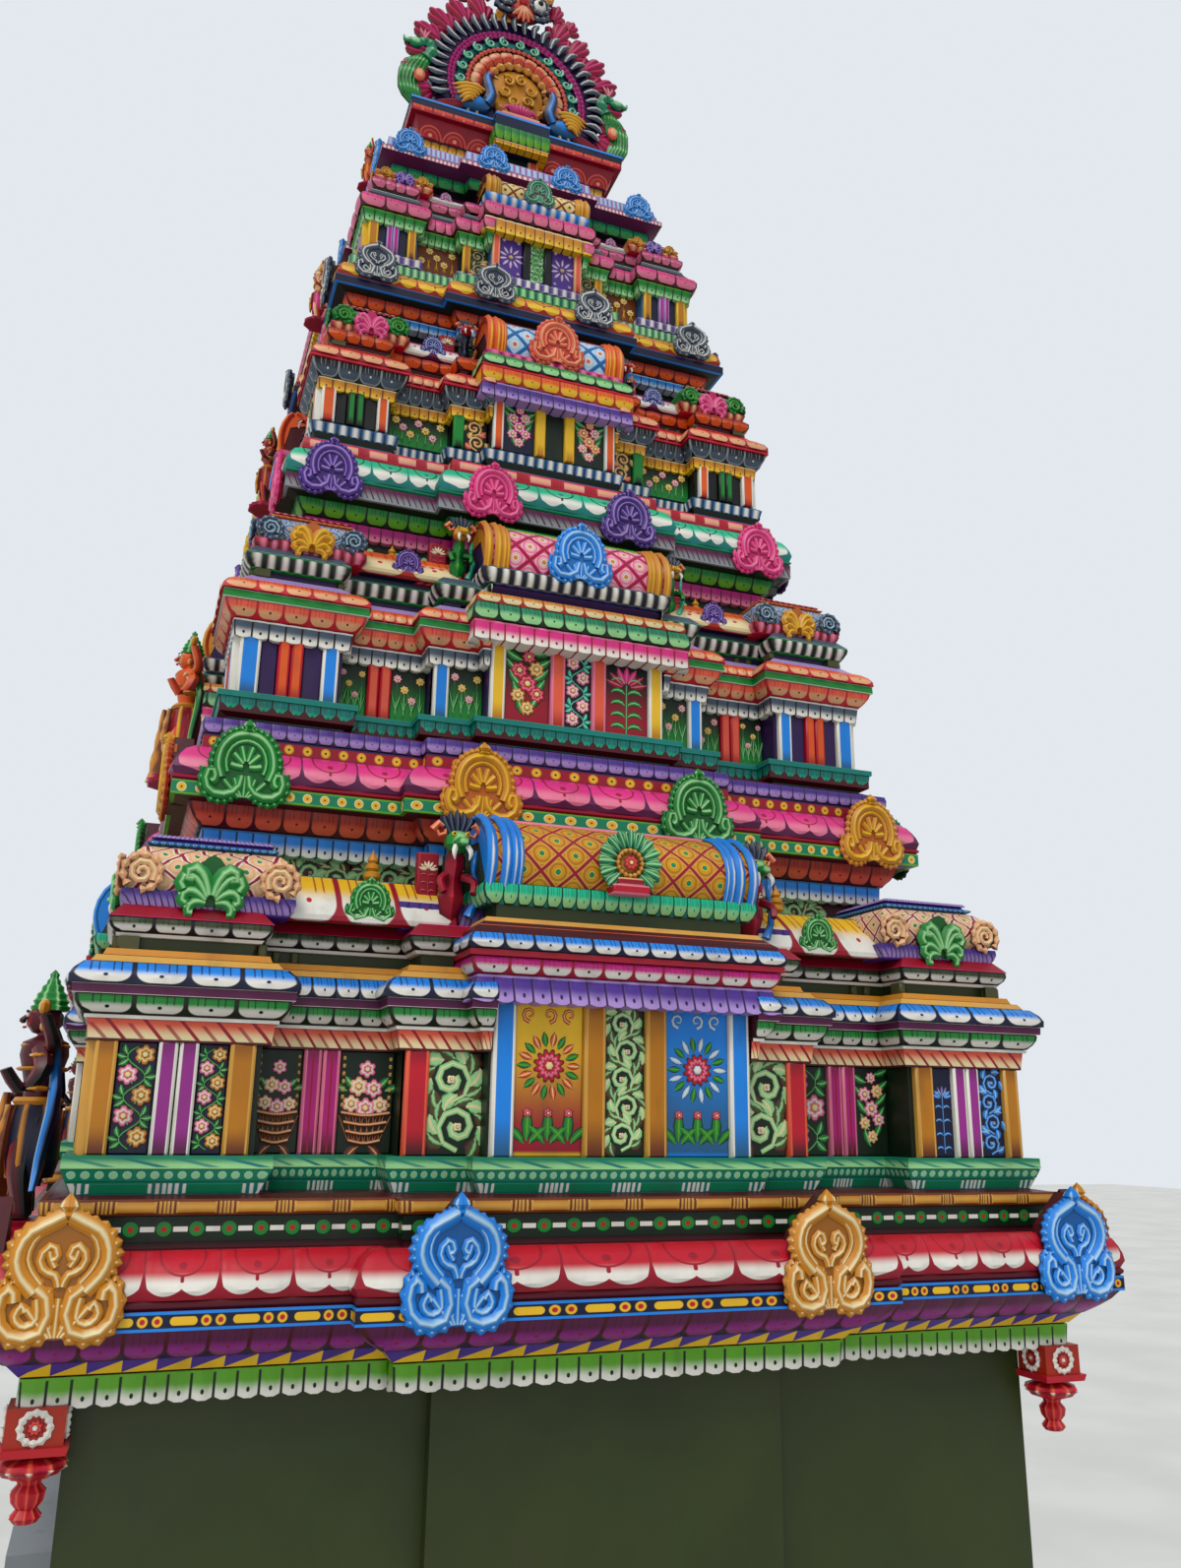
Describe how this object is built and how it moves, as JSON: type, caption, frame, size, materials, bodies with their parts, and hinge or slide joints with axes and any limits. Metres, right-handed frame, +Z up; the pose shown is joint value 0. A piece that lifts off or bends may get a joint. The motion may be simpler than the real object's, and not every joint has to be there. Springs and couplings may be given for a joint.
{
  "type": "gopuram",
  "caption": "Painted gateway tower: a walled ground storey with a passage through it, stepped upper storeys with mouldings and shrines, and a barrel vault with gable arches and finials.",
  "frame": {"origin": "middle of the tower's footprint, at ground level", "axes": "+Z up, +X out of the front gateway face, +Y along the long side; the short ends face -Y and +Y"},
  "size_m": [5.316, 8.466, 14.7188],
  "materials": {
    "granite": "dressed stone, dull",
    "olive_plaster": "plain dark olive wall paint, matt",
    "pale_plaster": "limewashed plaster",
    "brick_red": "enamel painted stucco",
    "crimson": "enamel painted stucco, satin",
    "emerald": "enamel painted stucco, satin",
    "sky_blue": "enamel painted stucco, satin",
    "gold_yellow": "enamel painted stucco, satin",
    "magenta": "enamel painted stucco, satin",
    "teal": "enamel painted stucco, satin",
    "coral": "enamel painted stucco, satin",
    "turquoise": "enamel painted stucco, satin",
    "steel_blue": "enamel painted stucco, satin",
    "charcoal": "enamel painted stucco, satin",
    "orchid": "enamel painted stucco, satin",
    "leaf_green": "enamel painted stucco, satin",
    "orange": "enamel painted stucco, satin",
    "navy": "enamel painted stucco, satin",
    "maroon": "enamel painted stucco, satin",
    "gilded": "gold paint over metal pots"
  },
  "bodies": {
    "root": {"plinth_south": "granite", "end_wall_south": "olive_plaster", "plinth_north": "granite", "end_wall_north": "olive_plaster", "back_wall": "olive_plaster", "back_door_frame": "granite", "front_wall": "olive_plaster", "front_door_frame": "granite", "gateway_ceiling": "pale_plaster", "bracket_south_back": "brick_red", "bracket_south_front": "brick_red", "bracket_north_back": "brick_red", "bracket_north_front": "brick_red", "storey1_base": "crimson", "storey1_wall": "emerald", "storey1_cornice": "sky_blue", "storey1_parapet": "gold_yellow", "storey2_base": "magenta", "storey2_wall": "teal", "storey2_cornice": "coral", "storey2_parapet": "gold_yellow", "storey3_base": "turquoise", "storey3_wall": "steel_blue", "storey3_cornice": "charcoal", "storey3_parapet": "orchid", "storey4_base": "gold_yellow", "storey4_wall": "leaf_green", "storey4_cornice": "magenta", "storey4_parapet": "coral", "crown_base": "pale_plaster", "crown_neck": "orange", "crown_slab": "navy", "crown_vault": "gold_yellow", "gable_arch_south": "crimson", "gable_arch_north": "crimson", "ridge_finials": "gilded", "storey1_guardian_south_back": "maroon", "storey1_guardian_south_front": "maroon", "storey1_guardian_north_back": "maroon", "storey1_guardian_north_front": "maroon", "storey2_guardian_south_back": "orange", "storey2_guardian_south_front": "orange", "storey2_guardian_north_back": "orange", "storey2_guardian_north_front": "orange"}
  },
  "joints": []
}
